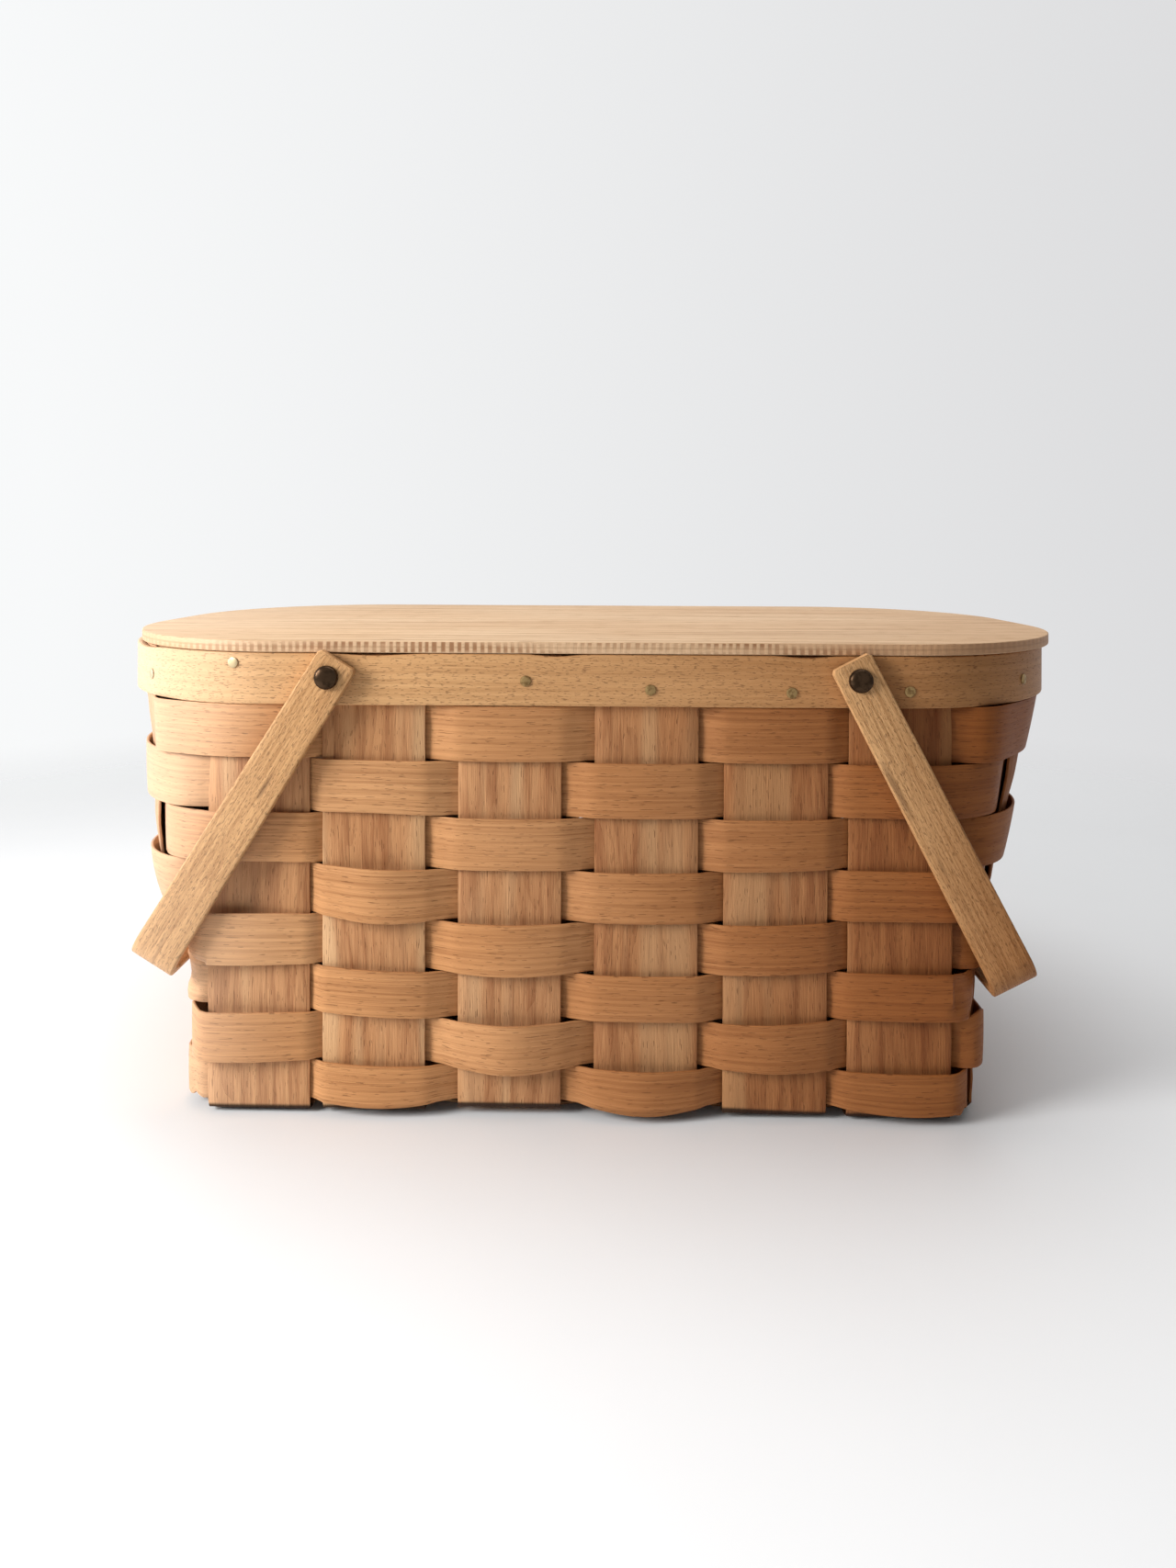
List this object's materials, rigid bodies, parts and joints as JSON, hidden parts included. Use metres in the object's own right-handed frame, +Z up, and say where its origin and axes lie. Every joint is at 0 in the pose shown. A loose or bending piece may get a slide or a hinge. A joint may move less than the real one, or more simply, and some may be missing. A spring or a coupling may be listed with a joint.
{
  "type": "lidded splint basket",
  "caption": "Picnic basket woven from wide wood splints, with a loose plywood lid and two bentwood swing handles.",
  "frame": {"origin": "on the surface the basket stands on, under the middle of its body", "axes": "+X along the length to the right seen from the front, front at -Y, +Z up"},
  "size_m": [0.5023, 0.3384, 0.2246],
  "materials": {
    "weaver_splint": "satin",
    "stake_splint": "matte",
    "rim_wood": "satin",
    "handle_wood": "satin",
    "lid_plywood": "satin",
    "batten_wood": "matte",
    "nail_brass": "satin",
    "rivet_metal": "satin"
  },
  "bodies": {
    "basket": {"weaver_row_1": "weaver_splint", "weaver_row_2": "weaver_splint", "weaver_row_3": "weaver_splint", "weaver_row_4": "weaver_splint", "weaver_row_5": "weaver_splint", "weaver_row_6": "weaver_splint", "weaver_row_7": "weaver_splint", "weaver_row_8": "weaver_splint", "cross_stake_1": "stake_splint", "cross_stake_2": "stake_splint", "cross_stake_3": "stake_splint", "cross_stake_4": "stake_splint", "cross_stake_5": "stake_splint", "cross_stake_6": "stake_splint", "long_stake_1": "stake_splint", "long_stake_2": "stake_splint", "long_stake_3": "stake_splint", "long_stake_4": "stake_splint", "long_stake_5": "stake_splint", "outer_rim_band": "rim_wood", "inner_rim_band": "rim_wood", "rim_nail_front_1": "nail_brass", "rim_nail_front_2": "nail_brass", "rim_nail_front_3": "nail_brass", "rim_nail_front_4": "nail_brass", "rim_nail_front_5": "nail_brass", "rim_nail_right_1": "nail_brass", "rim_nail_right_2": "nail_brass", "rim_nail_right_3": "nail_brass", "rim_nail_right_4": "nail_brass", "rim_nail_back_1": "nail_brass", "rim_nail_back_2": "nail_brass", "rim_nail_back_3": "nail_brass", "rim_nail_back_4": "nail_brass", "rim_nail_back_5": "nail_brass", "rim_nail_back_6": "nail_brass", "rim_nail_left_1": "nail_brass", "rim_nail_left_2": "nail_brass", "rim_nail_left_3": "nail_brass", "rim_nail_left_4": "nail_brass", "left_front_rivet": "rivet_metal", "left_front_washer": "rivet_metal", "left_front_burr": "rivet_metal", "left_back_rivet": "rivet_metal", "left_back_washer": "rivet_metal", "left_back_burr": "rivet_metal", "right_front_rivet": "rivet_metal", "right_front_washer": "rivet_metal", "right_front_burr": "rivet_metal", "right_back_rivet": "rivet_metal", "right_back_washer": "rivet_metal", "right_back_burr": "rivet_metal"},
    "lid": {"lid_board": "lid_plywood", "lid_batten_left": "batten_wood", "lid_batten_right": "batten_wood"},
    "left_handle": {"left_handle": "handle_wood"},
    "right_handle": {"right_handle": "handle_wood"}
  },
  "joints": [
    {"name": "lid_lift", "type": "slide", "parent": "basket", "child": "lid", "axis": [0, 0, 1], "range_m": [0, 0.06]},
    {"name": "left_handle_swing", "type": "hinge", "parent": "basket", "child": "left_handle", "pos_m": [-0.11812, 0, 0.20815], "axis": [0, 1, 0], "range_deg": [0, 193.2]},
    {"name": "right_handle_swing", "type": "hinge", "parent": "basket", "child": "right_handle", "pos_m": [0.12746, 0, 0.20815], "axis": [0, -1, 0], "range_deg": [0, 197.6]}
  ]
}
